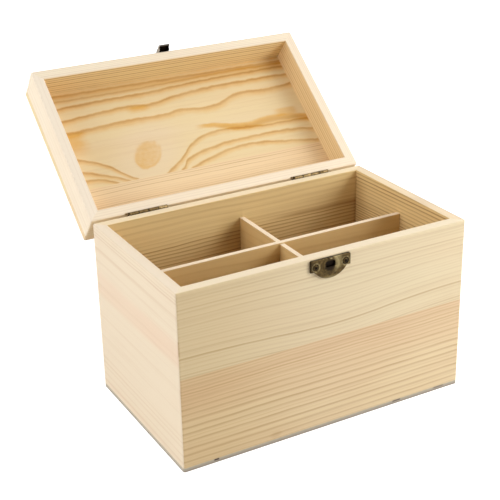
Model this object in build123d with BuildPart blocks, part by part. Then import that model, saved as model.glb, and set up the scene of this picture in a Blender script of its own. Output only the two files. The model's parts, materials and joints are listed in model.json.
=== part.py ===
"""Wooden seed storage box with a hinged lid, four compartments and a half-round latch.

Frame: X to the right along the front, +Y to the back, +Z up, all in millimetres.
The origin is the centre of the underside. The lid stands open, as the box is shown.
"""
from build123d import *
import os

os.makedirs("parts", exist_ok=True)

# Carcass
box_width = 240.0
box_depth = 141.0
base_height = 139.5
wall = 8.5
bottom_thickness = 3.2
corner_round = 1.6
edge_round = 0.6 * corner_round
inner_ease = 0.4
front_glue_line = 74.0

# Lid
lid_height = 29.8
lid_panel_thickness = 6.7
lid_gap = 0.6
lid_open_angle = 140.3
panel_glue_line = 30.6

# Dividers
divider_thickness = 3.8
divider_drop = 17.2
short_divider_step = 1.2
divider_end_gap = 0.2
lap_gap = 0.15
long_divider_y = 1.4
short_divider_x = 3.0

# Hinges
hinge_length = 32.5
hinge_end_distance = 46.6
hinge_out = 1.1
leaf_reach = 13.0
leaf_thickness = 0.9
leaf_corner = 1.5
knuckle_count = 4
knuckle_radius = 1.6
knuckle_gap = 0.3
hinge_pin_radius = 0.8
notch_clearance = 0.35
notch_spare = 2.8
hinge_screw_pitch = 20.0
hinge_screw_drop = 8.3

# Screws and brads
screw_head_radius = 2.1
screw_head_height = 1.1
screw_radius = 1.0
screw_length = 7.0
screw_tip = 1.6
recess_width = 0.6
recess_length = 2.6
recess_depth = 0.6
fastener_fit = 0.05
brad_radius = 0.6
brad_head_radius = 1.1
brad_head_height = 0.6
brad_sink = 0.2
brad_length = 18.0
brad_corner_distance = 32.0

# Latch
plate_width = 33.0
plate_height = 15.8
plate_ear_height = 8.8
plate_ear_width = 3.0
plate_corner = 1.0
plate_stand = 2.0
plate_sheet = 0.7
plate_edge_round = 0.5
catch_drop = 1.2
plate_screw_spread = 24.8
plate_screw_drop = 5.5
screw_pad_radius = 3.2
screw_dimple_radius = 3.0
screw_seat_depth = 0.7
boss_radius = 6.6
boss_rise = 0.5
boss_drop = 5.6
boss_slope = 30.0
hook_x = -0.6
hook_width = 2.4
hook_clearance = 0.4
slot_width = 8.0
slot_height = 4.6
slot_drop = 2.3
backing_margin = 0.8
latch_x = -2.2
flap_width = 9.2
flap_sheet = 0.65
flap_lip = 1.0
flap_clearance = 0.35
cheek_depth = 0.75
cheek_wood_gap = 0.9
cheek_start = 2.0
barrel_radius = 1.3
latch_pin_radius = 0.6
barrel_rise = 7.6
lug_width = 3.0
lug_gap = 0.25
running_fit = 0.05

# Places that follow from the sizes
half_width = box_width / 2
half_depth = box_depth / 2
inner_width = box_width - 2 * wall
inner_depth = box_depth - 2 * wall
hinge_y = half_depth + hinge_out
hinge_z = base_height + lid_gap / 2
lid_rim = base_height + lid_gap
lid_inside = lid_rim + lid_height - lid_panel_thickness
divider_top = base_height - divider_drop
divider_middle = (bottom_thickness + divider_top) / 2
short_divider_top = divider_top - short_divider_step
hinge_middles = {"left": hinge_end_distance - half_width, "right": half_width - hinge_end_distance}

# The lid turns about the hinge line from its closed place to where it stands open
lid_swing = (
    Location((0, hinge_y, hinge_z))
    * Location((0, 0, 0), (-lid_open_angle, 0, 0))
    * Location((0, -hinge_y, -hinge_z))
)


def standing(plane):
    """The base stands where it is drawn."""
    return plane


def opened(plane):
    """Carry a plane of the closed lid to the open lid."""
    return Plane(lid_swing * plane.location)


def front_plane(x, z, out=0.0):
    """A plane on the front face that looks forward, some distance out from the wood."""
    return Plane(origin=(x, -half_depth - out, z), x_dir=(1, 0, 0), z_dir=(0, -1, 0))


def back_plane(x, z, out=0.0):
    """A plane on the back face that looks backward, some distance out from the wood."""
    return Plane(origin=(x, half_depth + out, z), x_dir=(-1, 0, 0), z_dir=(0, 1, 0))


def cross_plane(x, y, z):
    """A plane across the box that looks to the right, with its own X to the back."""
    return Plane(origin=(x, y, z), x_dir=(0, 1, 0), z_dir=(1, 0, 0))


# Screws and brads

with BuildPart() as wood_screw:
    # One small round-headed screw, its seat at the origin and its head up
    with BuildSketch(Plane.XZ):
        with BuildLine():
            Line((0, screw_head_height), (0, -screw_length))
            Line((0, -screw_length), (screw_radius, screw_tip - screw_length))
            Line((screw_radius, screw_tip - screw_length), (screw_radius, 0))
            Line((screw_radius, 0), (screw_head_radius, 0))
            SagittaArc((screw_head_radius, 0), (0, screw_head_height), -screw_head_height / 4)
        make_face()
    revolve(axis=Axis.Z)
    with BuildSketch(Plane.XY.offset(screw_head_height - recess_depth)):
        Rectangle(recess_length, recess_width)
        Rectangle(recess_width, recess_length)
    extrude(amount=screw_head_height, mode=Mode.SUBTRACT)

with BuildPart() as brad:
    # One brad, the outer face of its head at the origin and its point up
    Cylinder(brad_head_radius, brad_head_height, align=(Align.CENTER, Align.CENTER, Align.MIN))
    Cylinder(brad_radius, brad_length, align=(Align.CENTER, Align.CENTER, Align.MIN))
    chamfer(brad.edges().sort_by(Axis.Z)[-1], brad_radius / 2)


def fastener_group(label, one, seats):
    """A set of the same fastener as separate solids, one on each seat."""
    with BuildPart() as group:
        with Locations(*seats):
            add(one)
    group.part.label = label
    export_step(group.part, f"parts/{label}.step")


def pilot_holes(seats):
    """Screw holes in the wood, as deep below the screws' seats as the screws are long."""
    with Locations(*seats):
        Hole(screw_radius + fastener_fit, depth=screw_length + fastener_fit)


# Mitred frames: both the base and the lid are four boards cut at 45 degrees at the corners

sides = {
    "front": ((-1, -1), (1, -1), Vector(0, -1, 0)),
    "back": ((1, 1), (-1, 1), Vector(0, 1, 0)),
    "left": ((-1, 1), (-1, -1), Vector(-1, 0, 0)),
    "right": ((1, -1), (1, 1), Vector(1, 0, 0)),
}


def mitred_plan(side):
    """Draw one board's plan: its share of the rounded frame between two mitres."""
    start, end, _ = sides[side]
    RectangleRounded(box_width, box_depth, corner_round)
    Rectangle(inner_width, inner_depth, mode=Mode.SUBTRACT)
    outer_x = half_width + corner_round
    outer_y = half_depth + corner_round
    inner_x = half_width - wall
    inner_y = half_depth - wall
    Polygon(
        (start[0] * outer_x, start[1] * outer_y),
        (end[0] * outer_x, end[1] * outer_y),
        (end[0] * inner_x, end[1] * inner_y),
        (start[0] * inner_x, start[1] * inner_y),
        align=None,
        mode=Mode.INTERSECT,
    )


def ease_rim(board, side, place, rim_up):
    """Round the outer edge of a board's rim and break the inner one."""
    middle = place(Plane.XY)
    rim = Axis(middle.origin, middle.z_dir * rim_up)
    outward = Axis(middle.origin, middle.from_local_coords(sides[side][2]) - middle.origin)
    rim_edges = board.faces().sort_by(rim)[-1].edges().sort_by(outward)
    outer_edges = rim_edges[-3:]
    inner_edge = rim_edges[0]
    fillet(outer_edges, edge_round)
    chamfer(inner_edge, inner_ease)


def hinge_notches(place, inward):
    """Cut the room for both hinge barrels from a back board's outer rim edge, longer on the left."""
    room = knuckle_radius + notch_clearance
    depth = room - hinge_out
    rim_height = inward * lid_gap / 2
    for middle in hinge_middles.values():
        start = middle - hinge_length / 2 - notch_spare
        with BuildSketch(place(cross_plane(start, hinge_y, hinge_z))) as notch:
            with Locations((-room, rim_height)):
                Rectangle(2 * depth, 2 * (room - lid_gap / 2), align=(Align.MIN, Align.CENTER))
        length = notch_spare + hinge_length + notch_clearance
        extrude(notch.sketch, amount=length, mode=Mode.SUBTRACT)


# Where the fasteners sit

brad_x = half_width - brad_corner_distance
brad_y = half_depth - brad_corner_distance
brad_spots = {
    "front": [(x, -half_depth + wall / 2) for x in (-brad_x, 0, brad_x)],
    "back": [(x, half_depth - wall / 2) for x in (-brad_x, 0, brad_x)],
    "left": [(-half_width + wall / 2, y) for y in (-brad_y, brad_y)],
    "right": [(half_width - wall / 2, y) for y in (-brad_y, brad_y)],
}


def brad_holes(side):
    """Brad holes in the lower edge of one wall."""
    with Locations(*[Plane((x, y, bottom_thickness), z_dir=(0, 0, -1)) for x, y in brad_spots[side]]):
        Hole(brad_radius + fastener_fit, depth=brad_sink + brad_length - bottom_thickness + fastener_fit)


def hinge_seats(middle, place, direction):
    """The two screw seats on a leaf that reaches up (1) or down (-1) from the hinge line."""
    height = hinge_z + direction * hinge_screw_drop
    ends = (middle - hinge_screw_pitch / 2, middle + hinge_screw_pitch / 2)
    return [place(back_plane(x, height, leaf_thickness)) for x in ends]


def plate_seats(middle, flat_edge, place, direction):
    """The two screw seats on a half-round plate that reaches up (1) or down (-1)."""
    height = flat_edge + direction * plate_screw_drop
    ends = (middle - plate_screw_spread / 2, middle + plate_screw_spread / 2)
    return [place(front_plane(x, height, plate_stand - screw_seat_depth)) for x in ends]


catch_edge = base_height - catch_drop
latch_edge = lid_rim + barrel_rise
catch_seats = plate_seats(0, catch_edge, standing, -1)
latch_seats = plate_seats(latch_x, latch_edge, opened, 1)

# Base: front wall, two boards glued edge to edge

with BuildPart() as base_front_lower_board:
    with BuildSketch(Plane.XY.offset(bottom_thickness)):
        mitred_plan("front")
    extrude(amount=front_glue_line - bottom_thickness)
    brad_holes("front")
base_front_lower_board.part.label = "base_front_lower_board"
export_step(base_front_lower_board.part, "parts/base_front_lower_board.step")

with BuildPart() as base_front_upper_board:
    with BuildSketch(Plane.XY.offset(front_glue_line)):
        mitred_plan("front")
    extrude(amount=base_height - front_glue_line)
    ease_rim(base_front_upper_board, "front", standing, 1)
    pilot_holes(catch_seats)
base_front_upper_board.part.label = "base_front_upper_board"
export_step(base_front_upper_board.part, "parts/base_front_upper_board.step")

# Base: back wall, notched for the hinge barrels

with BuildPart() as base_back_wall:
    with BuildSketch(Plane.XY.offset(bottom_thickness)):
        mitred_plan("back")
    extrude(amount=base_height - bottom_thickness)
    ease_rim(base_back_wall, "back", standing, 1)
    brad_holes("back")
    hinge_notches(standing, -1)
    for middle in hinge_middles.values():
        pilot_holes(hinge_seats(middle, standing, -1))
base_back_wall.part.label = "base_back_wall"
export_step(base_back_wall.part, "parts/base_back_wall.step")

# Base: end walls

for side in ("left", "right"):
    with BuildPart() as end_wall:
        with BuildSketch(Plane.XY.offset(bottom_thickness)):
            mitred_plan(side)
        extrude(amount=base_height - bottom_thickness)
        ease_rim(end_wall, side, standing, 1)
        brad_holes(side)
    end_wall.part.label = f"base_{side}_wall"
    export_step(end_wall.part, f"parts/base_{side}_wall.step")

# Base: plywood bottom under the walls, with its brads

brad_seats = [Plane((x, y, 0), z_dir=(0, 0, -1)) for spots in brad_spots.values() for x, y in spots]

with BuildPart() as bottom_board:
    with BuildSketch(Plane.XY):
        RectangleRounded(box_width, box_depth, corner_round)
    extrude(amount=bottom_thickness)
    with Locations(*brad_seats):
        CounterBoreHole(
            brad_radius + fastener_fit,
            brad_head_radius + fastener_fit,
            brad_sink + brad_head_height + fastener_fit,
        )
bottom_board.part.label = "bottom_board"
export_step(bottom_board.part, "parts/bottom_board.step")

brad_places = [Plane((x, y, brad_sink)) for spots in brad_spots.values() for x, y in spots]
fastener_group("bottom_brads", brad.part, brad_places)

# Dividers: two thin boards halved into each other, the long one whole along its top and a little higher

lap_width = divider_thickness + 2 * lap_gap

with BuildPart() as long_divider:
    with BuildSketch(Plane.XZ.offset(-long_divider_y)):
        with Locations((0, bottom_thickness)):
            Rectangle(
                inner_width - 2 * divider_end_gap,
                divider_top - bottom_thickness,
                align=(Align.CENTER, Align.MIN),
            )
        with Locations((short_divider_x, bottom_thickness)):
            Rectangle(
                lap_width,
                divider_middle - bottom_thickness + lap_gap,
                align=(Align.CENTER, Align.MIN),
                mode=Mode.SUBTRACT,
            )
    extrude(amount=divider_thickness / 2, both=True)
    fillet(long_divider.edges().group_by(Axis.Z)[-1].filter_by(Axis.X), inner_ease)
long_divider.part.label = "long_divider"
export_step(long_divider.part, "parts/long_divider.step")

with BuildPart() as short_divider:
    with BuildSketch(Plane.YZ.offset(short_divider_x)):
        with Locations((0, bottom_thickness)):
            Rectangle(
                inner_depth - 2 * divider_end_gap,
                short_divider_top - bottom_thickness,
                align=(Align.CENTER, Align.MIN),
            )
        with Locations((long_divider_y, divider_top)):
            Rectangle(
                lap_width,
                divider_top - divider_middle + lap_gap,
                align=(Align.CENTER, Align.MAX),
                mode=Mode.SUBTRACT,
            )
    extrude(amount=divider_thickness / 2, both=True)
    fillet(short_divider.edges().group_by(Axis.Z)[-1].filter_by(Axis.Y), inner_ease)
short_divider.part.label = "short_divider"
export_step(short_divider.part, "parts/short_divider.step")

# Hinges: two butt hinges on the outside of the back, each two leaves on one pin

leaf_edge = knuckle_radius + knuckle_gap
knuckle_pitch = hinge_length / knuckle_count


def hinge_leaf(label, middle, place, direction, first_knuckle):
    """One leaf that reaches up (1) or down (-1), with every second knuckle rolled on its edge."""
    with BuildPart() as leaf:
        with BuildSketch(place(back_plane(middle, hinge_z))) as plate:
            with Locations((0, direction * (leaf_edge + leaf_reach) / 2)):
                Rectangle(hinge_length, leaf_reach - leaf_edge)
            fillet(plate.vertices().sort_by(Axis.Y)[::direction][-2:], leaf_corner)
        extrude(amount=leaf_thickness)
        for index in range(first_knuckle, knuckle_count, 2):
            start = middle - hinge_length / 2 + index * knuckle_pitch + knuckle_gap / 2
            with BuildSketch(place(cross_plane(start, hinge_y, hinge_z))):
                Circle(knuckle_radius)
                with Locations((-hinge_out, direction * leaf_edge)):
                    Rectangle(leaf_thickness, 2 * leaf_edge, align=(Align.MIN, Align.CENTER))
                Circle(hinge_pin_radius + running_fit, mode=Mode.SUBTRACT)
            extrude(amount=knuckle_pitch - knuckle_gap)
        with Locations(*hinge_seats(middle, place, direction)):
            Hole(screw_radius + fastener_fit, depth=2 * leaf_thickness)
    leaf.part.label = label
    export_step(leaf.part, f"parts/{label}.step")


for side, middle in hinge_middles.items():
    hinge_leaf(f"{side}_hinge_base_leaf", middle, standing, -1, 0)
    hinge_leaf(f"{side}_hinge_lid_leaf", middle, opened, 1, 1)
    with BuildPart() as hinge_pin:
        with BuildSketch(cross_plane(middle, hinge_y, hinge_z)):
            Circle(hinge_pin_radius)
        extrude(amount=hinge_length / 2, both=True)
        chamfer(hinge_pin.edges(), hinge_pin_radius / 4)
    hinge_pin.part.label = f"{side}_hinge_pin"
    export_step(hinge_pin.part, f"parts/{side}_hinge_pin.step")
    fastener_group(f"{side}_hinge_base_screws", wood_screw.part, hinge_seats(middle, standing, -1))
    fastener_group(f"{side}_hinge_lid_screws", wood_screw.part, hinge_seats(middle, opened, 1))

# Lid: four mitred boards under a panel of two boards

for side in ("front", "back", "left", "right"):
    with BuildPart() as lid_wall:
        with BuildSketch(opened(Plane.XY.offset(lid_rim))):
            mitred_plan(side)
        extrude(amount=lid_inside - lid_rim)
        ease_rim(lid_wall, side, opened, -1)
        if side == "front":
            pilot_holes(latch_seats)
        if side == "back":
            hinge_notches(opened, 1)
            for middle in hinge_middles.values():
                pilot_holes(hinge_seats(middle, opened, 1))
    lid_wall.part.label = f"lid_{side}_wall"
    export_step(lid_wall.part, f"parts/lid_{side}_wall.step")

lid_up = Axis(opened(Plane.XY).origin, opened(Plane.XY).z_dir)
lid_back = Axis(opened(Plane.XY).origin, opened(Plane.XY).y_dir)

with BuildPart() as lid_panel_front_board:
    with BuildSketch(opened(Plane.XY.offset(lid_inside))):
        RectangleRounded(box_width, box_depth, corner_round)
        with Locations((0, panel_glue_line)):
            Rectangle(box_width, box_depth, align=(Align.CENTER, Align.MAX), mode=Mode.INTERSECT)
    extrude(amount=lid_panel_thickness)
    top_edges = lid_panel_front_board.faces().sort_by(lid_up)[-1].edges()
    fillet(top_edges.sort_by(lid_back)[:-1], edge_round)
lid_panel_front_board.part.label = "lid_panel_front_board"
export_step(lid_panel_front_board.part, "parts/lid_panel_front_board.step")

with BuildPart() as lid_panel_back_board:
    with BuildSketch(opened(Plane.XY.offset(lid_inside))):
        RectangleRounded(box_width, box_depth, corner_round)
        with Locations((0, panel_glue_line)):
            Rectangle(box_width, box_depth, align=(Align.CENTER, Align.MIN), mode=Mode.INTERSECT)
    extrude(amount=lid_panel_thickness)
    top_edges = lid_panel_back_board.faces().sort_by(lid_up)[-1].edges()
    fillet(top_edges.sort_by(lid_back)[1:], edge_round)
lid_panel_back_board.part.label = "lid_panel_back_board"
export_step(lid_panel_back_board.part, "parts/lid_panel_back_board.step")

# Latch: two half-round pressed plates, a hook on the lower one and a swinging flap on the upper


def half_round_outline(sketch):
    """Draw a plate from its flat edge down: two square ears and a round lower edge between them."""
    ear_x = plate_width / 2
    arc_x = ear_x - plate_ear_width
    with BuildLine() as outline:
        Polyline((-arc_x, -plate_ear_height), (-ear_x, -plate_ear_height), (-ear_x, 0))
        Line((-ear_x, 0), (ear_x, 0))
        Polyline((ear_x, 0), (ear_x, -plate_ear_height), (arc_x, -plate_ear_height))
        ThreePointArc((arc_x, -plate_ear_height), (0, -plate_height), (-arc_x, -plate_ear_height))
    make_face(outline.edges())
    fillet(sketch.vertices().group_by(Axis.Y)[-1], plate_corner)


def pressed_plate(plate, face):
    """Raise a hollow half-round shell from the wood, with a low boss and a pad under each screw."""
    with BuildSketch(face) as outline:
        half_round_outline(outline)
    extrude(outline.sketch, amount=plate_stand)
    outward = Axis(face.origin, face.z_dir)
    fillet(plate.faces().sort_by(outward)[-1].edges(), plate_edge_round)
    with BuildSketch(face.offset(plate_stand)) as boss:
        half_round_outline(boss)
        offset(amount=-plate_edge_round, mode=Mode.REPLACE)
        with Locations((0, -boss_drop)):
            Circle(boss_radius, mode=Mode.INTERSECT)
    extrude(boss.sketch, amount=boss_rise, taper=boss_slope)
    with BuildSketch(face) as hollow:
        half_round_outline(hollow)
        offset(amount=-plate_sheet, mode=Mode.REPLACE)
        with Locations((0, -plate_screw_drop)):
            with GridLocations(plate_screw_spread, 0, 2, 1):
                Circle(screw_pad_radius, mode=Mode.SUBTRACT)
    extrude(hollow.sketch, amount=plate_stand - plate_sheet, mode=Mode.SUBTRACT)


def seat_plate_screws(seats):
    """Press a dimple and drill a through hole for each screw of a plate."""
    raised = [Plane(origin=seat.origin + seat.z_dir * screw_seat_depth, z_dir=seat.z_dir) for seat in seats]
    with Locations(*raised):
        Cone(
            screw_head_radius + fastener_fit,
            screw_dimple_radius,
            screw_seat_depth,
            align=(Align.CENTER, Align.CENTER, Align.MAX),
            mode=Mode.SUBTRACT,
        )
        Hole(screw_radius + fastener_fit, depth=2 * plate_stand)


# The flap's lip lies clear of the boss, and the hook reaches over that lip to just behind the flap's face
flap_face = plate_stand + boss_rise + flap_clearance + cheek_depth + flap_sheet
hook_reach = flap_face - flap_sheet - flap_clearance
catch_face = front_plane(0, catch_edge)

with BuildPart() as catch_plate:
    pressed_plate(catch_plate, catch_face)
    with BuildSketch(catch_face.offset(plate_sheet)):
        with Locations((hook_x, -slot_drop)):
            RectangleRounded(slot_width, slot_height, slot_height / 4, align=(Align.CENTER, Align.MAX))
    extrude(amount=plate_stand + boss_rise, mode=Mode.SUBTRACT)
    with BuildSketch(catch_face):
        with Locations((hook_x, -plate_sheet / 2)):
            Rectangle(
                slot_width + 2 * backing_margin,
                slot_drop + slot_height + backing_margin,
                align=(Align.CENTER, Align.MAX),
            )
    extrude(amount=plate_sheet)
    with BuildSketch(catch_face.offset(plate_stand - plate_sheet)):
        with Locations((hook_x, 0)):
            Rectangle(hook_width, flap_sheet, align=(Align.CENTER, Align.MAX))
    extrude(amount=hook_reach - plate_stand + plate_sheet)
    hook_end = catch_plate.faces().sort_by(Axis.Y)[0].edges().filter_by(Axis.Z)
    fillet(hook_end, hook_width / 4)
    seat_plate_screws(catch_seats)
catch_plate.part.label = "catch_plate"
export_step(catch_plate.part, "parts/catch_plate.step")
fastener_group("catch_screws", wood_screw.part, catch_seats)

# The upper plate is the same pressing turned over, with two lugs rolled from its flat edge

barrel_out = flap_face - barrel_radius
knuckle_half = flap_width / 2
barrel_half = knuckle_half + lug_gap + lug_width
barrel_room = barrel_radius + lug_gap
latch_face = opened(Plane(origin=(latch_x, -half_depth, latch_edge), x_dir=(-1, 0, 0), z_dir=(0, -1, 0)))


def barrel_plane(x):
    """A plane across the latch barrel, on its axis."""
    return opened(cross_plane(x, -half_depth - barrel_out, latch_edge))


with BuildPart() as latch_plate:
    pressed_plate(latch_plate, latch_face)
    with BuildSketch(latch_face):
        Rectangle(2 * (barrel_half + lug_gap), 2 * barrel_room)
    extrude(amount=plate_stand + boss_rise, mode=Mode.SUBTRACT)
    for start in (latch_x - barrel_half, latch_x + knuckle_half + lug_gap):
        with BuildSketch(barrel_plane(start)):
            Circle(barrel_radius)
            with Locations((barrel_out - plate_stand + plate_sheet, 0)):
                Rectangle(plate_sheet, 2 * barrel_room, align=(Align.MAX, Align.MIN))
            Circle(latch_pin_radius + running_fit, mode=Mode.SUBTRACT)
        extrude(amount=lug_width)
    seat_plate_screws(latch_seats)
latch_plate.part.label = "latch_plate"
export_step(latch_plate.part, "parts/latch_plate.step")
fastener_group("latch_screws", wood_screw.part, latch_seats)

with BuildPart() as latch_pin:
    with BuildSketch(barrel_plane(latch_x)):
        Circle(latch_pin_radius)
    extrude(amount=barrel_half, both=True)
    chamfer(latch_pin.edges(), latch_pin_radius / 4)
latch_pin.part.label = "latch_pin"
export_step(latch_pin.part, "parts/latch_pin.step")

# The flap: a knuckle on the pin, a face, a cheek on each side and a lip that turns in under the hook.
# Its sketches have the barrel's axis as origin, their X into the box and their Y up.

face_outside = -barrel_radius
face_inside = flap_sheet - barrel_radius
plate_line = -(barrel_rise + lid_gap + catch_drop)
lip_top = plate_line - flap_sheet - hook_clearance
flap_end = lip_top - flap_lip

with BuildPart() as latch_flap:
    with BuildSketch(barrel_plane(latch_x)) as profile:
        with Locations((face_outside, flap_end)):
            Rectangle(flap_sheet, -flap_end, align=(Align.MIN, Align.MIN))
            Rectangle(flap_sheet + cheek_depth, flap_lip, align=(Align.MIN, Align.MIN))
        fillet(profile.vertices().group_by(Axis.Y)[0], 0.4 * flap_lip)
        Circle(barrel_radius)
        Circle(latch_pin_radius + running_fit, mode=Mode.SUBTRACT)
    extrude(amount=knuckle_half, both=True)
    with BuildSketch(barrel_plane(latch_x - knuckle_half)):
        Polygon(
            (face_inside, -cheek_start),
            (barrel_out - cheek_wood_gap, -2 * cheek_start),
            (barrel_out - cheek_wood_gap, plate_line + 2 * flap_clearance + cheek_depth),
            (face_inside + cheek_depth, plate_line + flap_clearance),
            (face_inside + cheek_depth, lip_top - flap_lip / 2),
            (face_inside, lip_top - flap_lip / 2),
            align=None,
        )
    extrude(amount=flap_sheet)
    mirror(about=barrel_plane(latch_x))
latch_flap.part.label = "latch_flap"
export_step(latch_flap.part, "parts/latch_flap.step")
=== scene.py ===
import json
import math
import bpy
from mathutils import Matrix, Quaternion, Vector

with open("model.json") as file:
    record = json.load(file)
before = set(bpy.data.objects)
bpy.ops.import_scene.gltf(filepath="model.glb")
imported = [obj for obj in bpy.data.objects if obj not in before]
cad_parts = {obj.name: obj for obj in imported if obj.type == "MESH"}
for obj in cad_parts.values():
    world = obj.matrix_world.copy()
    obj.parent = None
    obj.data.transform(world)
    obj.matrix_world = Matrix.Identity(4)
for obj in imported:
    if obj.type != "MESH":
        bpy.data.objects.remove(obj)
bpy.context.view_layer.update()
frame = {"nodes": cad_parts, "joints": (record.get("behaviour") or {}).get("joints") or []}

nodes = frame["nodes"]

# Upper front board of the base: bare pale pine, planed and sanded, mitred to the side walls and glued
# edge to edge to the board below. Its rings dip together near the middle and run out at the glue line.


class Wire:
    """The output of a node in a finish. Sums and products of wires add their Math nodes."""

    def __init__(self, tree, socket):
        self.tree = tree
        self.socket = socket

    def node(self, kind, settings=None, sockets=None, output=0):
        """Add a node, its settings first, then the values or wires of its sockets."""
        made = self.tree.nodes.new(kind)
        for name, value in (settings or {}).items():
            if name == "stops":
                made.color_ramp.interpolation = "EASE"
                ramp = made.color_ramp.elements
                while len(ramp) < len(value):
                    ramp.new(0.5)
                for stop, (place, grey) in zip(ramp, value):
                    stop.position = place
                    stop.color = (grey, grey, grey, 1.0)
            elif name == "points":
                curve = made.mapping.curves[0].points
                while len(curve) < len(value):
                    curve.new(0.5, 0.5)
                for point, place in zip(curve, value):
                    point.location = place
                made.mapping.update()
            else:
                setattr(made, name, value)
        for name, value in (sockets or {}).items():
            if isinstance(value, Wire):
                self.tree.links.new(value.socket, made.inputs[name])
            else:
                made.inputs[name].default_value = value
        return Wire(self.tree, made.outputs[output] if made.outputs else None)

    def math(self, operation, *values):
        return self.node("ShaderNodeMath", {"operation": operation}, dict(enumerate(values)))

    def __add__(self, other):
        return self.math("ADD", self, other)

    def __sub__(self, other):
        return self.math("SUBTRACT", self, other)

    def __mul__(self, other):
        return self.math("MULTIPLY", self, other)

    def __truediv__(self, other):
        return self.math("DIVIDE", self, other)

    def __rsub__(self, other):
        return self.math("SUBTRACT", other, self)

    __radd__ = __add__
    __rmul__ = __mul__

    def at_most(self, most):
        return self.math("MINIMUM", self, most)

    def distance(self, place):
        return self.math("ABSOLUTE", self - place)

    def between(self, low, high):
        """Rise smoothly from 0 at low to 1 at high, or fall where low is the larger."""
        settings = {"interpolation_type": "SMOOTHSTEP"}
        ends = (low, high, 0.0, 1.0) if low < high else (high, low, 1.0, 0.0)
        names = ("From Min", "From Max", "To Min", "To Max")
        return self.node("ShaderNodeMapRange", settings, {"Value": self, **dict(zip(names, ends))})

    def ramp(self, *stops):
        """Follow values that are set at places from 0 to 1."""
        return self.node("ShaderNodeValToRGB", {"stops": stops}, {"Fac": self})

    def paint(self, under, over):
        """Mix two colours, all of the second where this wire is 1 or more, none where it is 0 or less."""
        return self.node("ShaderNodeMix", {"data_type": "RGBA"}, {0: self, 6: under, 7: over}, 2)

    def shade(self, colour, by):
        """Multiply a colour by another, fully where this wire is 1."""
        settings = {"data_type": "RGBA", "blend_type": "MULTIPLY"}
        return self.node("ShaderNodeMix", settings, {0: self, 6: colour, 7: (*by, 1.0)}, 2)


def tint(red, green, blue):
    """A colour as it is seen, 0 to 255, as the light values that a shader takes."""
    seen = [value / 255 for value in (red, green, blue)]
    return (*(v / 12.92 if v < 0.0405 else ((v + 0.055) / 1.055) ** 2.4 for v in seen), 1.0)


def start_finish(name):
    """Begin a finish. Gives the material and its place on the box, in millimetres."""
    material = bpy.data.materials.new(name)
    material.use_nodes = True
    tree = material.node_tree
    tree.nodes.clear()
    metres = Wire(tree, tree.nodes.new("ShaderNodeTexCoord").outputs["Object"])
    sockets = {"Vector": metres, "Scale": 1000.0}
    return material, metres.node("ShaderNodeVectorMath", {"operation": "SCALE"}, sockets)


def end_finish(material, colour, roughness, height, relief, **constants):
    """Close a finish: colour, roughness and a relief in millimetres on one shader."""
    sockets = {"Strength": 1.0, "Distance": relief / 1000, "Height": height}
    normal = height.node("ShaderNodeBump", {}, sockets)
    sockets = {"Base Color": colour, "Roughness": roughness, "Normal": normal, **constants}
    shader = height.node("ShaderNodeBsdfPrincipled", {}, sockets)
    height.node("ShaderNodeOutputMaterial", {}, {"Surface": shader})
    return material


def wear(material, slot, *names):
    """Give a finish to solids of the box."""
    for name in names:
        nodes[name].material_slots[0].material = material


def split(place, order="xyz"):
    """The three coordinates of a place, in the order asked for."""
    return [place.node("ShaderNodeSeparateXYZ", {}, {0: place}, "xyz".index(axis)) for axis in order]


def grain_noise(along, across, through, length, width, detail=2.0):
    """Noise drawn out along the grain, from -1 to 1."""
    sockets = {"X": along / length, "Y": across / width, "Z": through / width}
    stretched = along.node("ShaderNodeCombineXYZ", {}, sockets)
    sockets = {"Vector": stretched, "Scale": 1.0, "Detail": detail}
    return along.node("ShaderNodeTexNoise", {}, sockets) * 2.0 - 1.0


def ring_lines(across, lines):
    """Late wood at set places: (place, strength, slow side, sharp side), all in millimetres."""
    lines_per_ramp = 10  # a ramp holds 32 stops, and a line takes three
    low = lines[0][0] - lines[0][2] - 1.0
    span = lines[-1][0] + lines[-1][3] + 1.0 - low
    ramps = []
    for first in range(0, len(lines), lines_per_ramp):
        stops = []
        for place, strength, slow, sharp in lines[first:first + lines_per_ramp]:
            start = (place - slow - low) / span
            if stops and start <= stops[-1][0]:
                start = (stops[-2][0] + stops[-1][0]) / 2
                stops.pop()
            stops += [(start, 0.0), ((place - low) / span, strength), ((place + sharp - low) / span, 0.0)]
        ramps.append(((across - low) / span).ramp(*stops))
    return sum(ramps)


def even_rings(across, pitch, vary):
    """Late wood at an even pitch, stronger and weaker from ring to ring."""
    count = across / pitch
    share = count.math("FRACT", count)
    ring = share.ramp((0.0, 0.25), (0.12, 0.0), (0.5, 0.12), (0.82, 1.0), (1.0, 0.25))
    sockets = {"W": count.math("FLOOR", count)}
    chance = count.node("ShaderNodeTexWhiteNoise", {"noise_dimensions": "1D"}, sockets)
    return ring * (chance * vary + (1.0 - vary))


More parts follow.
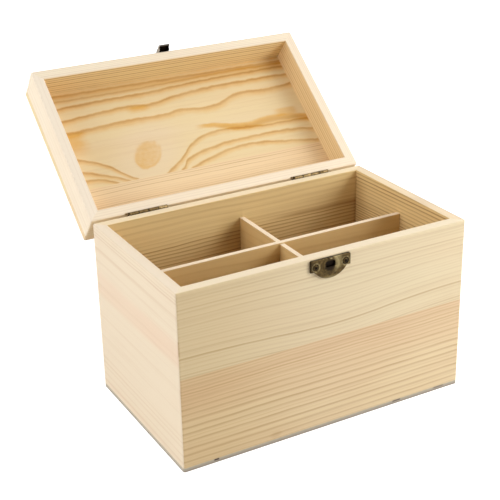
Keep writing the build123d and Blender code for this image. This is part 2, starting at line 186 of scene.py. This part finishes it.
def pine(material, grain, late, tones, blushes, inside, deep, rim=None, corner=None):
    """Bare sanded pine. Grain is the place along, across and through it, and late is 1 in late wood. The
    tones are early wood, late wood and a blush that comes and goes, more of it where blushes is higher.
    Where inside is 1 all is multiplied by deep, painted shade; where rim is 1 it is whiter, a painted
    highlight; where corner is 1 it is browner, painted shade."""
    pale, dark, blush = tones
    fibre = grain_noise(*grain, 60.0, 0.7, 3.0)
    streak = grain_noise(*grain, 90.0, 2.6)
    cloud = grain_noise(*grain, 110.0, 22.0, 1.0)
    pores = grain_noise(*grain, 5.0, 0.3, 1.0).between(0.42, 0.62)
    early = (cloud * 0.35 + blushes).paint(pale, blush)
    colour = (late + streak * 0.13 + fibre * 0.12 + pores * 0.10).paint(early, dark)
    # painted shade where inside is 1, a painted highlight where rim is 1, browner painted shade where corner
    # is 1
    colour = inside.shade(colour, deep)
    if rim is not None:
        colour = (rim * 0.55).paint(colour, tint(254, 240, 220))
    if corner is not None:
        colour = corner.shade(colour, (0.58, 0.48, 0.34))
    height = late * 0.5 + fibre * 0.35 - pores * 0.4
    roughness = 0.62 - late * 0.10 + fibre * 0.04
    return end_finish(material, colour, roughness, height, 0.05, **{"Specular IOR Level": 0.3})


half_width, half_depth = 120.0, 70.5


def corner_marks(x, y, z):
    """Dark hairlines at two heights in the upright mitre of the front left corner."""
    fade = 1.5
    out = (x + half_width) + (y + half_depth)
    heights = ((93.0, 103.0), (60.0, 66.0))
    marks = [z.between(low - fade, low) * z.between(high + fade, high) for low, high in heights]
    return sum(marks) * out.between(1.3, 0.6)


def on_rim(z):
    """1 on the top edge of the base."""
    return z.between(139.2, 139.7)


def on_front(y):
    """1 on the outside of the front, 0 behind it."""
    return y.between(-69.0, -70.0)


def left_shade(x, y):
    """Painted shade: the outside of the front grows slowly darker towards its left end."""
    return x.between(10.0, -110.0) * on_front(y) * 0.9


material, place = start_finish("pale_front_pine")
x, z, y = split(place, "xzy")
dip = (x - 5.0) / 62.0
bell = dip.math("EXPONENT", dip * dip * -1.0)
sag = bell * z.between(139.5, 88.0) * 5.4
wander = grain_noise(x, z, y, 70.0, 30.0, 1.0) * 0.7 + grain_noise(x, z, y, 16.0, 8.0) * 0.25
upper = z + sag + wander + (y + half_depth) * 1.3
rings = [(75.6, 0.35, 1.6, 0.5), (77.6, 0.45, 1.4, 0.5), (80.8, 0.14, 1.4, 0.6), (84.5, 0.22, 1.5, 0.6),
         (87.4, 0.20, 1.4, 0.7), (90.0, 0.75, 1.8, 0.7), (93.0, 0.18, 1.2, 0.6), (95.4, 0.36, 1.3, 0.6),
         (99.0, 0.16, 1.2, 0.8), (103.0, 0.13, 1.5, 0.8), (107.5, 0.12, 1.5, 0.8), (113.7, 0.26, 1.8, 0.8),
         (117.0, 0.14, 1.2, 0.8), (120.0, 0.26, 1.5, 0.7), (124.0, 0.14, 1.5, 0.7), (126.7, 0.34, 1.4, 0.6),
         (131.0, 0.16, 1.4, 0.7), (133.5, 0.22, 1.4, 0.7), (136.2, 0.30, 1.4, 0.7)]
patchy = grain_noise(x, z, y, 40.0, 6.0, 1.0) * 0.25 + 0.75
late = (ring_lines(upper, rings) + even_rings(upper, 2.15, 0.8) * 0.26) * patchy + corner_marks(x, y, z)
tones = tint(238, 220, 183), tint(190, 152, 100), tint(234, 206, 168)
# painted highlight on the top edge, and painted shade towards the left end of the front
rim = on_rim(z)
shaded = left_shade(x, y) * (1.0 - rim)
wear(pine(material, (x, upper, y), late, tones, 0.12, shaded, (0.92, 0.87, 0.77), rim),
     "pine", "base_front_upper_board")

# Lower front board of the base: pine from nearer the heart, turning pinkish towards the glue line above
# it, with strong straight rings that stand closer together there. A faint stain sits low on its left.

material, place = start_finish("rosy_front_pine")
x, z, y = split(place, "xzy")
wander = grain_noise(x, z, y, 60.0, 30.0, 1.0) * 0.8 + grain_noise(x, z, y, 14.0, 8.0) * 0.3
lower = z + wander
rings = [(3.9, 0.25, 1.2, 0.6), (8.2, 0.55, 2.2, 0.7), (11.0, 0.25, 1.0, 0.6), (13.5, 0.62, 2.0, 0.7),
         (18.5, 0.66, 2.2, 0.8), (21.5, 0.22, 1.2, 0.6), (24.6, 0.66, 1.9, 0.8), (27.5, 0.3, 1.0, 0.7),
         (30.6, 0.66, 2.0, 0.8), (35.6, 0.70, 2.2, 0.8), (41.0, 0.72, 2.3, 0.8), (43.6, 0.25, 1.0, 0.6),
         (46.0, 0.55, 1.8, 0.8), (50.6, 0.62, 2.0, 0.8), (54.0, 0.38, 1.4, 0.6), (57.5, 0.45, 1.4, 0.7),
         (60.2, 0.30, 1.0, 0.6), (62.3, 0.50, 1.0, 0.7), (65.3, 0.38, 1.4, 0.7), (68.2, 0.42, 1.4, 0.7),
         (70.6, 0.28, 1.0, 0.6), (73.0, 0.34, 1.2, 0.6)]
close_rings = even_rings(lower, 2.1, 0.7) * (lower.between(48.0, 60.0) * 0.35 + 0.15)
patchy = grain_noise(x, z, y, 40.0, 6.0, 1.0) * 0.3 + 0.66
stain_x, stain_z = (x + 45.0) / 6.0, (z - 7.0) / 3.0
stain = grain_noise(x, z, y, 8.0, 3.0, 1.0) * 0.5 + stain_x * stain_x + stain_z * stain_z
late = (ring_lines(lower, rings) + close_rings) * patchy + stain.between(1.2, 0.0) * on_front(y) * 0.2
tones = tint(240, 217, 176), tint(188, 145, 94), tint(230, 192, 152)
rosy = lower.between(28.0, 68.0) * 0.45 + 0.1
# painted shade towards the left end of the front
wear(pine(material, (x, lower, y), late, tones, rosy, left_shade(x, y), (0.91, 0.86, 0.76)),
     "pine", "base_front_lower_board")

# Left wall of the base: one creamy pine board, mitred and glued. It is nearly plain, with faint rings low
# down, a pink band above the middle and sharper rings under the rim.

material, place = start_finish("cream_side_pine")
y, z, x = split(place, "yzx")
side = z + (x + half_width) * 1.3 + grain_noise(y, z, x, 60.0, 30.0, 1.0) * 0.9
rings = [(8.0, 0.3, 2.0, 1.0), (14.0, 0.2, 2.0, 1.0), (20.5, 0.22, 2.0, 0.8), (24.5, 0.22, 2.0, 0.8),
         (29.0, 0.2, 2.0, 0.8), (48.0, 0.1, 4.0, 1.0), (66.0, 0.1, 4.0, 1.0), (86.0, 0.12, 4.0, 1.0),
         (92.0, 0.14, 3.0, 1.0), (112.0, 0.14, 3.0, 1.0), (121.5, 0.3, 4.0, 2.0), (131.8, 0.42, 1.6, 0.7),
         (134.2, 0.42, 1.2, 0.7), (137.2, 0.3, 1.2, 0.7)]
late = ring_lines(side, rings) * 0.75 + corner_marks(x, y, z) * 0.5
tones = tint(237, 219, 192), tint(196, 154, 108), tint(236, 204, 176)
pink_band = z.between(78.0, 88.0) * z.between(106.0, 98.0) * 0.45
# painted highlight on the top edge and painted shade on the inside face
rim = on_rim(z)
inside = x.between(-116.5, -113.0) * (1.0 - rim)
wear(pine(material, (y, side, x), late, tones, pink_band, inside, (0.95, 0.88, 0.74), rim),
     "pine", "base_left_wall")

# Right wall of the base: one pine board, mitred and glued, striped all over with dark straight rings that
# stand wider apart at the top. Inside, it has painted shade, browner in its corner with the back wall, and
# its outside face is browner too. Its top edge has a painted highlight.

material, place = start_finish("striped_side_pine")
y, z, x = split(place, "yzx")
side = z + y * 0.03 + grain_noise(y, z, x, 60.0, 30.0, 1.0) * 0.9 + grain_noise(y, z, x, 12.0, 8.0) * 0.2
broad_rings = even_rings(side, 3.1, 0.6) * z.between(104.0, 122.0) * 0.8
fine_rings = even_rings(side + 0.6, 2.2, 0.6) * z.between(122.0, 104.0)
# painted highlight on the top edge; painted shade inside and in the corner with the back wall; the outside
# face browner
rim = on_rim(z)
late = (broad_rings + fine_rings) * (1.0 - rim * 0.8)
tones = tint(240, 216, 170), tint(134, 88, 40), tint(232, 196, 148)
inside = x.between(116.5, 113.0)
outside = x.between(117.0, 119.0) * 0.315
beside_back = y.between(60.5, 61.8) * 0.5 + y.between(40.0, 62.0) * 0.35
corner = outside + beside_back * z.between(139.0, 128.0) * inside
wear(pine(material, (y, side, x), late, tones, 0.2, inside * (1.0 - rim), (0.93, 0.87, 0.70), rim, corner),
     "pine", "base_right_wall")

# Back wall of the base: one pine board with close even rings, wider and fainter near the rim, where it is
# notched for the hinge barrels. Inside, it has painted shade, browner beside the divider and the right wall,
# and its top edge a painted highlight.

material, place = start_finish("back_pine")
x, z, y = split(place, "xzy")
back = z + grain_noise(x, z, y, 70.0, 30.0, 1.0) * 1.6 + grain_noise(x, z, y, 14.0, 8.0) * 0.25
low_rings = even_rings(back, 2.9, 0.7) * z.between(130.0, 102.0)
high_rings = even_rings(back + 1.1, 5.2, 0.7) * z.between(106.0, 124.0) * 0.3
warm_line = back.distance(113.0).between(3.0, 0.6) * x.between(20.0, 60.0) * 0.4
late = low_rings + high_rings + warm_line
tones = tint(242, 219, 172), tint(166, 118, 64), tint(236, 202, 154)
# painted highlight on the top edge; painted shade inside, browner beside the divider and the right wall
rim = on_rim(z)
inside = y.between(67.0, 64.0) * (1.0 - rim)
beside_divider = x.between(-26.0, 0.0) * x.between(4.0, 3.0) * 0.8
beside_right = x.between(84.0, 112.0) * 0.5 + x.between(109.0, 111.3) * 0.4
corner = (beside_divider + beside_right).at_most(1.0) * z.between(132.0, 104.0) * inside
wear(pine(material, (x, back, y), late, tones, 0.1, inside, (0.95, 0.90, 0.74), rim, corner),
     "pine", "base_back_wall")

# Bottom: thin poplar plywood, three plies pressed together, its edge greyish between darker glue lines
# and with a few knots at the front. It is cut flush with the walls and nailed on from below.

material, place = start_finish("plywood")
x, y, z = split(place)
thickness = 3.2
ply = (z / thickness).ramp((0.0, 0.9), (0.22, 0.6), (0.33, 0.9), (0.38, 0.35), (0.64, 0.2), (0.69, 0.5),
                           (0.75, 0.0), (1.0, 0.0))
fibre = grain_noise(x, y, z, 12.0, 0.5, 3.0)
knots = grain_noise(x, y, z, 14.0, 2.0, 1.0).between(0.42, 0.6) * ply.between(0.3, 0.6)
front_knots = ((-94.0, 2.4, 1.0), (62.0, 4.5, 0.7), (102.0, 6.0, 0.5))
for middle, half, strength in front_knots:
    near = x.distance(middle).between(half, half * 0.6) * strength
    knots = knots + near * z.distance(2.4).between(0.9, 0.4) * on_front(y)
bare = (ply * 0.7 + fibre * 0.12).paint(tint(200, 188, 168), tint(112, 102, 94))
faces = z.between(thickness - 0.1, thickness - 0.02) + z.between(0.08, 0.01)
bare = (faces * 0.85).paint(bare, tint(236, 212, 170))
colour = knots.paint(bare, tint(74, 54, 42))
wear(end_finish(material, colour, 0.72 + fibre * 0.05, fibre * 0.5 - ply * 0.6, 0.06),
     "plywood", "bottom_board")

# Brads: ten plain steel pins driven up through the bottom into the walls, their heads a little below the
# wood. The steel is drawn wire, finely scratched.

material, place = start_finish("brad_steel")
scratch = grain_noise(*split(place), 1.5, 0.3, 3.0)
colour = scratch.between(-0.6, 0.6).paint(tint(120, 118, 114), tint(168, 166, 162))
wear(end_finish(material, colour, 0.42 + scratch * 0.08, scratch, 0.01, Metallic=1.0),
     "brad_steel", "bottom_brads")

# Dividers: two thin pine boards halved into each other, planed smooth. Their sides have painted shade,
# browner than the box, their tops a pale painted highlight, and the painted shade is browner still where they
# cross or meet a wall.


def long_corners(u):
    """Painted shade where the long divider crosses the short one and meets the right wall."""
    crossing = (u.between(-34.0, 1.0) * 0.7 + u.between(-4.0, 1.5) * 0.5) * u.between(4.0, 3.0)
    return (crossing + u.between(95.0, 115.0) * 0.4).at_most(1.0)


def short_corners(u):
    """Painted shade where the short divider crosses the long one and meets the back wall."""
    return u.between(-8.0, 1.0) * u.between(4.0, 3.0) * 0.4 + u.between(52.0, 63.0) * 0.5


# each with the order of its grain, the shift of its rings, its top, its painted corner shade and how far down
# it starts
dividers = (("long_divider", "xzy", 3.1, 122.3, long_corners, 16.0),
            ("short_divider", "yzx", 41.7, 121.1, short_corners, 12.0))
for name, order, shift, top, corners, fade in dividers:
    material, place = start_finish(name + "_pine")
    u, v, w = split(place, order)
    wander = grain_noise(u, v, w, 70.0, 25.0, 1.0) * 3.0 + grain_noise(u, v, w, 14.0, 7.0) * 0.3
    board = v + u * 0.02 + shift + wander
    late = even_rings(board, 6.5, 0.7) * 0.22
    tones = tint(240, 214, 170), tint(186, 142, 92), tint(232, 196, 150)
    # painted shade on the sides and at the corners, a painted highlight on the tops
    faces = v.between(top - 0.05, top - 0.7)
    corner = corners(u) * v.between(top - 2.0, top - fade)
    wear(pine(material, (u, board, w), late, tones, 0.2, faces, (0.855, 0.78, 0.58), 1.0 - faces, corner),
         "pine", name)

# Lid frame: four pine boards, mitred and glued like the base's but lower, planed on all faces. The front
# one has strong close rings, and the left one is the palest and plainest.


def closed_lid(place):
    """Carry a place on the open lid to where it is when the lid is closed."""
    joint = next(j for j in frame["joints"] if j["name"] == "lid_hinge")
    turn = math.radians(joint["range_deg"][1])
    pivot = Vector(joint["pos_m"]) * 1000
    shift = pivot - Matrix.Rotation(turn, 3, "X") @ pivot
    return place.node("ShaderNodeMapping", {}, {"Vector": place, "Location": shift, "Rotation": (turn, 0, 0)})


# each with the order of its grain, its ring pitch and strength, where its inside begins, early wood, and its
# painted shade inside
lid_walls = (("front", "xzy", 2.7, 0.85, (-67.0, -64.0), tint(248, 230, 190), (0.97, 0.92, 0.77)),
             ("back", "xzy", 3.4, 0.5, (67.0, 64.0), tint(243, 222, 184), (0.95, 0.88, 0.74)),
             ("left", "yzx", 5.4, 0.25, (-116.5, -113.0), tint(247, 231, 206), (0.95, 0.88, 0.74)),
             ("right", "yzx", 2.8, 0.6, (116.5, 113.0), tint(243, 222, 184), (0.94, 0.89, 0.76)))
for side, order, pitch, strength, inner, pale, deep in lid_walls:
    material, place = start_finish(f"lid_{side}_pine")
    u, v, w = split(closed_lid(place), order)
    board = v + w * 1.6 + grain_noise(u, v, w, 60.0, 25.0, 1.0) * 0.6
    # painted highlight on the top edge and painted shade on the inside faces
    rim = v.between(140.9, 140.4)
    inside = w.between(*inner) * (1.0 - rim)
    late = even_rings(board, pitch, 0.6) * strength * ((inside + rim).at_most(1.0) * 0.6 + 0.4)
    tones = pale, tint(172, 126, 68), tint(238, 204, 164)
    wear(pine(material, (u, board, w), late, tones, 0.12, inside, deep, rim), "pine", f"lid_{side}_wall")

# Front board of the lid panel: wide pine cut flat, so its rings open into broad arches round a knot. It
# is laid over the frame and glued, flush with it, and its end grain is plain.


def under_panel(z):
    """1 on the underside of the lid's panel, 0 on its top."""
    return z.between(169.0, 164.5)


def length(across, up):
    """How long a line is, from its two parts."""
    return across.math("SQRT", across * across + up * up)


def behind(x, across, course):
    """Distance behind a course, given by its points from left to right in millimetres."""
    reach = 75.0  # courses keep within this of the middle, to the front and the back
    width = half_width * 2
    points = [((along + half_width) / width, (back + reach) / (reach * 2)) for along, back in course]
    curve = x.node("ShaderNodeFloatCurve", {"points": points}, {"Value": (x + half_width) / width})
    return across - (curve * (reach * 2) - reach)


# strength, width and course of each ring, from the front of the panel to the back
panel_rings = (
    (0.55, 3.0, ((-120, -69.0), (-40, -68.6), (40, -67.8), (120, -67.6))),
    (0.45, 2.6, ((-102, -65.4), (0, -64.6), (111, -63.8))),
    (0.60, 3.4, ((-102, -59.1), (0, -58.4), (111, -57.7))),
    (0.45, 2.2, ((-102, -53.6), (-30, -53.8), (40, -55.4), (111, -55.6))),
    (0.80, 3.2, ((-102, -46.6), (-59, -48.1), (-32, -48.1), (16.6, -50.6), (110.9, -52))),
    (0.80, 3.6, ((-102, -34.1), (-59, -37.7), (-40.6, -38.4), (-26.3, -36.6), (2.3, -40.6), (16.6, -42),
                 (73.7, -43.7), (110.9, -43.1))),
    (0.75, 4.4, ((-102, -22.7), (-83.4, -23.4), (-52, -24.6), (-12, -24.6), (-0.6, -26.3), (25.1, -24.1),
                 (39.4, -26.3), (52.3, -31.3), (66.6, -32.7), (80.9, -31.3), (110.9, -33.4))),
    (0.75, 3.2, ((-102, 3), (-82, 12.3), (-62, 28.7), (-47, 36), (-32, 29.4), (-13.4, 17.3), (-2.7, 8),
                 (19.4, 0.9), (62.3, 3), (110.9, 5.1))),
    (0.70, 3.0, ((-102, 15.1), (-79, 23.7), (-69, 29.4), (-45, 42), (-19, 29.4), (-12, 22.3), (16.6, 14.4),
                 (39.4, 12.3), (95, 13), (110.9, 15.9))),
    (0.70, 3.0, ((-102, 23), (-87.7, 25.1), (-79, 29.4), (-45, 50), (-12, 30.9), (10.9, 23.7), (45, 18.7),
                 (88, 23.7), (110.9, 27.3))),
)
material, place = start_finish("arched_pine")
x, y, z = split(closed_lid(place))
wiggle = grain_noise(x, y, z, 7.0, 6.0, 3.0) * 1.1 + grain_noise(x, y, z, 40.0, 18.0, 1.0) * 0.7
across = y + wiggle
cores, halos = [], []
for strength, width, course in panel_rings:
    off = behind(x, across, course)
    cores.append(off.between(-0.9, 0.1) * off.between(width * 0.75, 0.4) * strength)
    halos.append(off.between(-1.8, 0.2) * off.between(width * 1.9, 0.9) * strength)
core, halo = sum(cores), sum(halos)

# a long orange streak right of the knot, a patch near its right end, a daub ahead of the knot
streak_course = ((0, -6), (12, -7.65), (52.8, -1.305), (73.68, -3.405), (110.4, 0.9))
off = behind(x, across, streak_course) / (x.between(5.0, 60.0) * 2.6 + 3.4)
streak = off.between(-0.45, 0.1) * off.between(1.4, 0.5) * x.between(4.0, 18.0)
streak_core = off.between(-0.1, 0.4) * off.between(1.1, 0.6) * x.between(2.0, 60.0) * 0.45
patch = y.between(-11.0, -8.0) * y.between(-1.0, -4.0) * x.between(80.0, 90.0) * x.between(108.0, 100.0)
daub = y.between(-39.0, -35.0) * y.between(-29.0, -33.0) * x.between(-48.0, -38.0) * x.between(-22.0, -32.0)

# the knot, a ragged oval with a darker edge, and orange wood at the panel's left end
ragged = grain_noise(x, y, z, 4.0, 4.0)
knot_y = (y - 10.3) / 12.4 + ragged * 0.12
knot_x = (x + 43.5 + (y - 10.3) * 0.35) / 11.6 + wiggle * 0.09 * knot_y.between(0.6, -0.8)
knot = length(knot_x, knot_y)
knot_fill = knot.between(1.22, 0.76) * (knot_x.between(0.9, -0.8) * 0.2 + 0.42 + ragged * 0.25)
knot_edge = knot.between(0.8, 0.95) * knot.between(1.12, 0.98) * (knot_y.between(-0.6, 0.9) * 0.25 + 0.05)
blob = (x + wiggle * 3.0).between(-84.0, -98.0) * y.between(-24.0, -20.0) * y.between(4.0, -10.0)

# all of it together, with painted shade along the front, and none of it on the end grain
uneven = grain_noise(x, y, z, 30.0, 10.0, 1.0) * 0.3 + 0.8
shaded = y.between(-46.0, -66.0) * 0.3
ends = x.between(-118.0, -112.0) * x.between(118.0, 112.0)
halo = halo + streak + patch * 0.7 + daub * 0.7 + blob * 0.9
halo = (halo * uneven + knot_fill + knot_edge + shaded) * ends
late = ((core + streak_core) * uneven * ends).at_most(1.0) * 0.65
clear = knot.between(3.6, 1.3) * 0.8 + y.between(-14.0, -6.0) * y.between(0.0, -8.0) * 0.3
pale = clear.paint(tint(240, 219, 177), tint(240, 219, 186))
orange = halo.paint(pale, tint(228, 178, 92))
tones = orange, tint(176, 112, 36), tint(238, 204, 156)
# painted shade on the underside of the panel
wear(pine(material, (x, across, z), late, tones, 0.05, under_panel(z), (0.98, 0.95, 0.88)),
     "pine", "lid_panel_front_board")

# Rear board of the lid panel: narrow pine with straight, very close rings, glued edge to edge to the
# front board and laid over the frame like it.

material, place = start_finish("straight_pine")
x, y, z = split(closed_lid(place))
straight = y + grain_noise(x, y, z, 90.0, 40.0, 1.0) * 1.2 + grain_noise(x, y, z, 18.0, 8.0) * 0.4
late = even_rings(straight, 1.9, 0.8) * (grain_noise(x, y, z, 50.0, 9.0, 1.0) * 0.4 + 0.6)
tones = tint(245, 222, 184), tint(184, 142, 90), tint(242, 206, 166)
# painted shade on the underside of the panel
wear(pine(material, (x, straight, z), late, tones, 0.25, under_panel(z), (0.98, 0.95, 0.88)),
     "pine", "lid_panel_back_board")

# Catch plate: a half-round plate pressed from thin steel, antique bronze, screwed to the base's front. It
# is black in its hollows, rubbed round its screws and on its rim, with painted shadow left of its hook and
# painted highlights on its hook and the right of its boss.


def bronze(material, place, tones, light=None, dark=None):
    """Antique bronze, mottled between the first two tones, lighter towards the third where light is 1, rubbed
    wear and painted highlights, and black where dark is 1, patina and painted shade. Place is three
    coordinates."""
    hollow, plain, rubbed = (tint(*tone) for tone in tones)
    mottle = grain_noise(*place, 2.2, 2.2, 3.0)
    fine = grain_noise(*place, 0.5, 0.5)
    colour = (mottle * 0.7 + fine * 0.4).between(-0.6, 0.7).paint(hollow, plain)
    if light is not None:
        colour = light.paint(colour, rubbed)
    if dark is not None:
        colour = dark.paint(colour, tint(24, 16, 8))
    sockets = {"Metallic": 0.7, "Specular IOR Level": 0.15}
    return end_finish(material, colour, 0.48 + mottle * 0.12, mottle * 0.4 + fine * 0.3, 0.03, **sockets)


bronze_tones = ((43, 32, 17), (114, 93, 55), (180, 164, 118))
screw_x, screw_z = 12.4, 132.8
material, place = start_finish("catch_bronze")
x, y, z = split(place)
left_screw, right_screw = (length(x - middle, z - screw_z) for middle in (-screw_x, screw_x))
rings = []
for away in (left_screw, right_screw):
    rubbed_and_lit_patches = grain_noise(x, z, y, 1.3, 1.3).between(-0.5, 0.3) * 0.5
    rings.append(away.between(2.2, 2.9) * away.between(4.0, 3.2) * rubbed_and_lit_patches)
boss = length(x, z - 132.7)
# painted highlights on the ridge and right side of the boss and on the hook
boss_highlight = boss.between(5.2, 6.2) * boss.between(7.8, 6.8) * x.between(1.0, 4.5) * 0.2
lit_boss_side = x.between(1.6, 3.6) * x.between(10.5, 6.0) * z.between(127.5, 131.0) * 0.4
lip = z.between(125.0, 123.4) * 0.3
hook_side = x.between(-1.6, -1.0) * y.between(-73.2, -73.8)
hook_highlight = hook_side * x.between(0.4, 0.0) * 0.8
light = (sum(rings) + boss_highlight + lit_boss_side + lip + hook_highlight) * (grain_noise(x, y, z, 1.4, 1.4) * 0.5 + 0.9)

deep = y.between(-72.3, -71.7) * 0.55
# painted shadow about the hook's slot, kept off the hook's face
spread = grain_noise(x, z, y, 1.6, 1.6) * 1.2
hook_shadow = (length(x + 1.0, z - 132.4) + spread).between(6.0, 3.0) * 0.9
off_hook = 1.0 - hook_side * x.between(0.6, 0.0)
left_end = x.between(-13.0, -16.2) * y.between(-71.8, -72.3) * 0.5
under_screws = (left_screw.between(2.6, 1.8) + right_screw.between(3.2, 2.2)) * 0.9
dark = deep + hook_shadow * off_hook + left_end + under_screws
wear(bronze(material, (x, y, z), bronze_tones, light, dark), "antique_bronze", "catch_plate")

# Hinge leaves: four thin pressed leaves with rolled knuckles, the same bronze but warmer. The knuckles carry
# painted highlights, stronger on some than others, and painted shade lies in the gaps between them.

material, place = start_finish("hinge_bronze")
x, y, z = split(place)
reach = 100.0  # both hinges lie within this of the middle
# painted highlights on the knuckles, stronger on some than others
knuckle_highlights = ((-100, 0.25), (-74, 0.1), (-67, 0.12), (-64, 0.5), (0, 0.3), (68, 0.35), (72, 0.6), (80, 0.3),
         (89, 0.3), (91, 0.65))
stops = [((middle + reach) / (reach * 2), strength) for middle, strength in knuckle_highlights]
rubbed_and_lit_patches = grain_noise(x, y, z, 2.4, 1.4).between(-0.45, 0.35) * 1.3
light = ((x + reach) / (reach * 2)).ramp(*stops) * rubbed_and_lit_patches
knuckle = 8.125
shares = []
for left_end, half in ((-89.65, x.between(1.0, -1.0)), (57.15, x.between(-1.0, 1.0))):
    count = (x - left_end) / knuckle
    shares.append(count.math("FRACT", count) * half)
# painted shade in the gaps between the knuckles
dark = sum(shares).distance(0.5).between(0.4, 0.47) * 0.7
tones = ((50, 37, 19), (118, 93, 54), (188, 162, 115))
wear(bronze(material, (x, y, z), tones, light, dark), "antique_bronze",
     *(name for name in nodes if name.endswith("leaf")))

# Catch screws: two round-headed screws with a cross, the same bronze as the plate that they hold, darker
# at the middle of each head and round the rim.

material, place = start_finish("screw_bronze")
x, y, z = split(place)
crosses = [length(x - middle, z - screw_z).between(1.5, 0.9) for middle in (-screw_x, screw_x)]
dark = sum(crosses) * 0.85 + y.between(-72.9, -72.4) * 0.15
wear(bronze(material, (x, y, z), bronze_tones, None, dark), "antique_bronze", "catch_screws")

# Flap: one strip of thin steel bent to a knuckle, a face, two cheeks and a lip, a greyer and darker bronze.
# It has a painted highlight along its lip and painted light outside its left cheek, and painted shade, black,
# behind its face.

material, place = start_finish("flap_bronze")
x, y, z = split(closed_lid(place))
# painted highlight along the lip and painted light outside the left cheek
lip = z.between(136.9, 136.5) * 0.12
lit_cheek = x.between(-6.4, -6.7) * y.between(-74.6, -74.3) * 0.9
light = (lip + lit_cheek) * (grain_noise(x, y, z, 1.0, 1.0) * 0.3 + 0.9)
# painted shade, black, behind the face
dark = y.between(-74.35, -74.15) * z.between(136.8, 137.3) * x.between(-6.6, -6.3) * 0.95
tones = ((26, 22, 19), (72, 64, 55), (176, 164, 148))
wear(bronze(material, (x, y, z), tones, light, dark), "antique_bronze", "latch_flap")

# Latch plate and pin, hinge pins and the other screws: the same bronze, unworn. The latch plate is the
# catch's pressing turned over and screwed to the lid, and the pins run through the knuckles.

material, place = start_finish("plain_bronze")
fittings = [name for name in nodes if "hinge" in name or "latch" in name]
wear(bronze(material, split(place), bronze_tones), "antique_bronze",
     *(name for name in fittings if not name.endswith("leaf") and name != "latch_flap"))

# Floor and room: a pale matte floor that keeps a soft shadow, in a white room. Both look white to straight,
# mirrored and passing rays, and give the object little light of their own.


def white_rays(tree):
    """1 for the rays that see the white room: straight, mirrored or through."""
    path = tree.nodes.new("ShaderNodeLightPath")
    kinds = ("Is Camera Ray", "Is Glossy Ray", "Is Transmission Ray")
    seen, shiny, through = (Wire(tree, path.outputs[kind]) for kind in kinds)
    return seen.math("MAXIMUM", seen, shiny.math("MAXIMUM", shiny, through))


bpy.ops.mesh.primitive_plane_add(size=8.0, location=(0, 0, 0))
floor = bpy.context.object
floor.name = "floor"
floor_paint, place = start_finish("floor_paint")
white = white_rays(place.tree)
matte = white.node("ShaderNodeBsdfDiffuse", {}, {"Color": white * -0.32 + 0.82})
away = place.node("ShaderNodeVectorMath", {"operation": "LENGTH"}, {0: place}, "Value")
strength = white * (away.between(300.0, 1200.0) * 0.16 + 0.84)
glow = white.node("ShaderNodeEmission", {}, {"Color": (1, 1, 1, 1), "Strength": strength})
both = white.node("ShaderNodeAddShader", {}, {0: matte, 1: glow})
white.node("ShaderNodeOutputMaterial", {}, {"Surface": both})
floor.data.materials.append(floor_paint)

world = bpy.data.worlds.new("room")
bpy.context.scene.world = world
world.use_nodes = True
world.node_tree.nodes.clear()
white = white_rays(world.node_tree)
light = white.node("ShaderNodeBackground", {}, {"Color": (1, 1, 1, 1), "Strength": white * 0.9 + 0.1})
white.node("ShaderNodeOutputWorld", {}, {"Surface": light})

# Lamps: large soft ones on the left, the left rear, the right, overhead and behind, and a small near one
# that brightens the right end of the front. Each has its place and size in metres and its power in watts.

lamps = (("left", (-1.3, 0.0, 0.6), 1.0, 10.7), ("left_rear", (-1.2, 0.9, 0.9), 1.0, 4.0),
         ("right", (1.3, 0.1, 0.8), 1.0, 8.5), ("near_right", (0.6, -0.6, 0.45), 0.5, 5.3),
         ("top", (0.0, 0.1, 1.6), 1.2, 6.9), ("rear", (0.2, 1.4, 0.7), 1.0, 2.4))
aim = Vector((0, 0.05, 0.1))
for name, place, size, power in lamps:
    lamp = bpy.data.lights.new(name, "AREA")
    lamp.size = size
    lamp.energy = power
    lamp_object = bpy.data.objects.new(name, lamp)
    lamp_object.location = place
    lamp_object.rotation_euler = (aim - Vector(place)).to_track_quat("-Z", "Y").to_euler()
    bpy.context.scene.collection.objects.link(lamp_object)

# Camera: where the photograph was taken from. Its place, direction and lens were fitted to the box's
# corners and edges, and it is rolled slightly.

eye = bpy.data.cameras.new("camera")
eye.lens = 86.075
camera = bpy.data.objects.new("camera", eye)
bpy.context.scene.collection.objects.link(camera)
camera.location = (-0.41602, -0.71087, 0.4824)
look = Vector((0.44087, 0.80066, -0.40569))
roll = Quaternion((0, 0, 1), math.radians(-1.224))
camera.rotation_mode = "QUATERNION"
camera.rotation_quaternion = look.to_track_quat("-Z", "Y") @ roll
bpy.context.scene.camera = camera
bpy.context.scene.view_settings.view_transform = "Standard"

bpy.context.view_layer.update()
